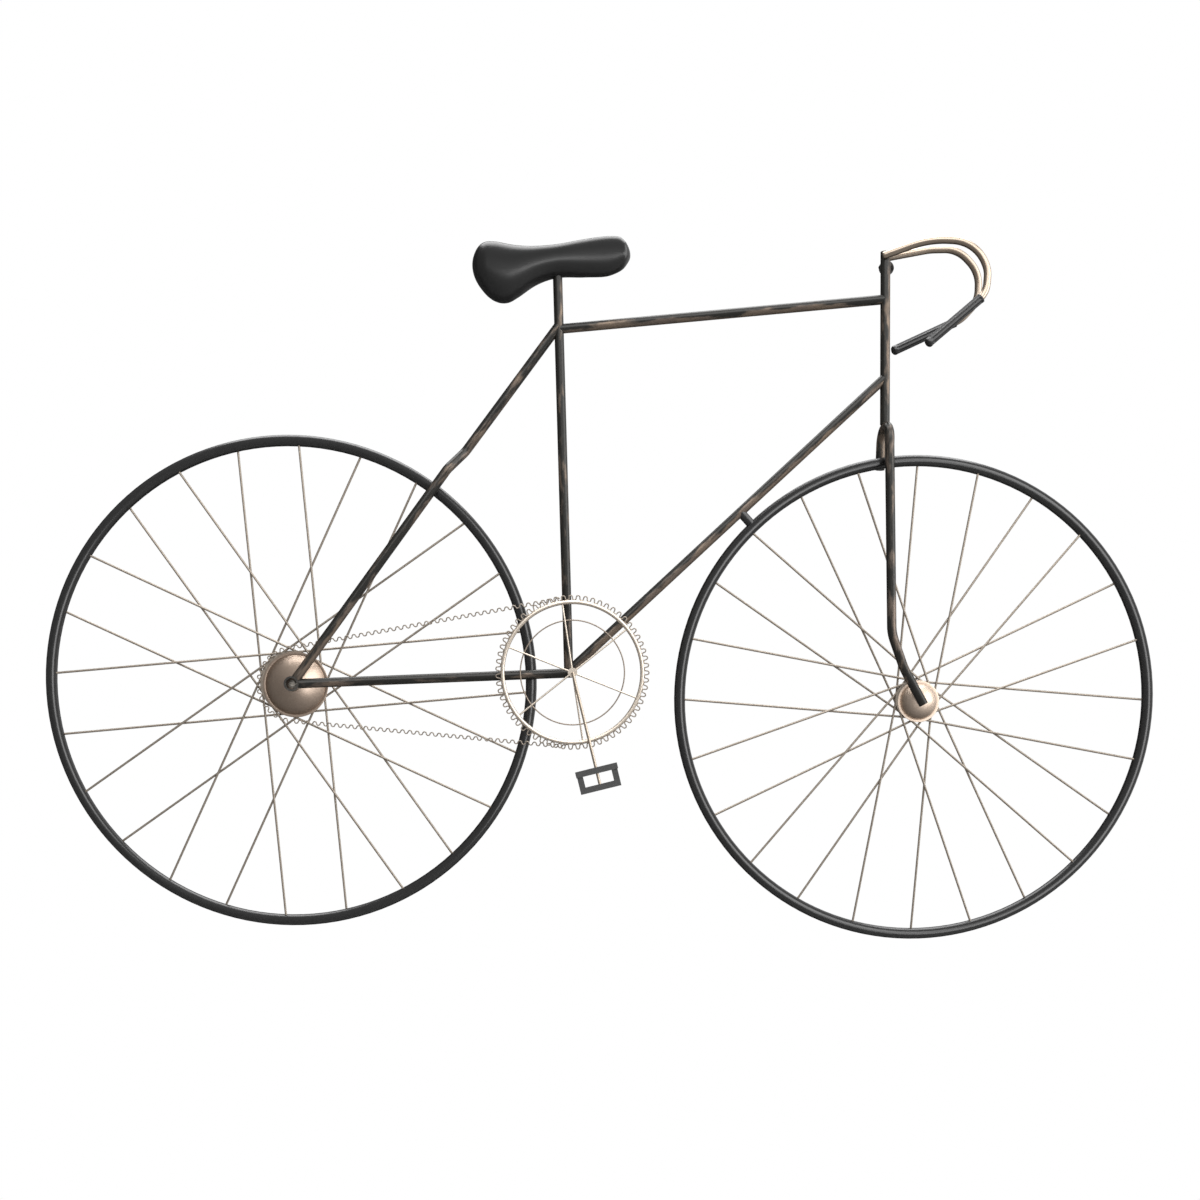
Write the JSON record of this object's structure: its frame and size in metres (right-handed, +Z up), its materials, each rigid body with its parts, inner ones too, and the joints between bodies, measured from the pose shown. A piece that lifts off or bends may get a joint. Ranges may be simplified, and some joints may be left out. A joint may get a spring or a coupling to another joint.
{
  "type": "bicycle wall sculpture",
  "caption": "Wall-hung bicycle in relief, welded from bent rod and wire, with rod-ring wheels, zigzag wire chain, drop handlebars and a padded saddle; nothing turns.",
  "frame": {"origin": "centre of the head eye's hole, at the wall face of the hanging eye behind the head tube", "axes": "+X towards the front wheel, +Y into the wall, +Z up; the decorated side faces -Y"},
  "size_m": [1.0047, 0.0523, 0.6284],
  "materials": {
    "frame_rod": "satin, dark bronze with rubbed taupe patches",
    "black_rod": "satin black",
    "champagne_bronze": "satin champagne bronze",
    "hub_bronze": "fine-grained bronze",
    "taupe_wire": "satin taupe bronze",
    "pedal_grey": "matt dark grey",
    "screw": "plain steel",
    "grip": "fluted, satin black",
    "saddle": "smooth satin black"
  },
  "bodies": {
    "root": {"axle_screw": "screw", "axle_tube": "black_rod", "bottom_bracket_pin": "frame_rod", "chain": "taupe_wire", "chain_stay": "frame_rod", "chainring": "champagne_bronze", "chainring_arms": "champagne_bronze", "chainring_inner_ring": "champagne_bronze", "chainring_teeth": "champagne_bronze", "crank": "taupe_wire", "down_tube": "frame_rod", "fork": "frame_rod", "front_hub_cap": "hub_bronze", "front_spokes": "taupe_wire", "front_tyre": "black_rod", "grip_far": "grip", "grip_near": "grip", "handlebar_far": "champagne_bronze", "handlebar_near": "champagne_bronze", "head_eye": "black_rod", "head_tube": "frame_rod", "pedal": "pedal_grey", "rear_hub_cap": "hub_bronze", "rear_spokes": "taupe_wire", "rear_tyre": "black_rod", "saddle": "saddle", "saddle_eye": "black_rod", "seat_stay": "frame_rod", "seat_tube": "frame_rod", "top_tube": "frame_rod", "tyre_stub": "black_rod"}
  },
  "joints": []
}
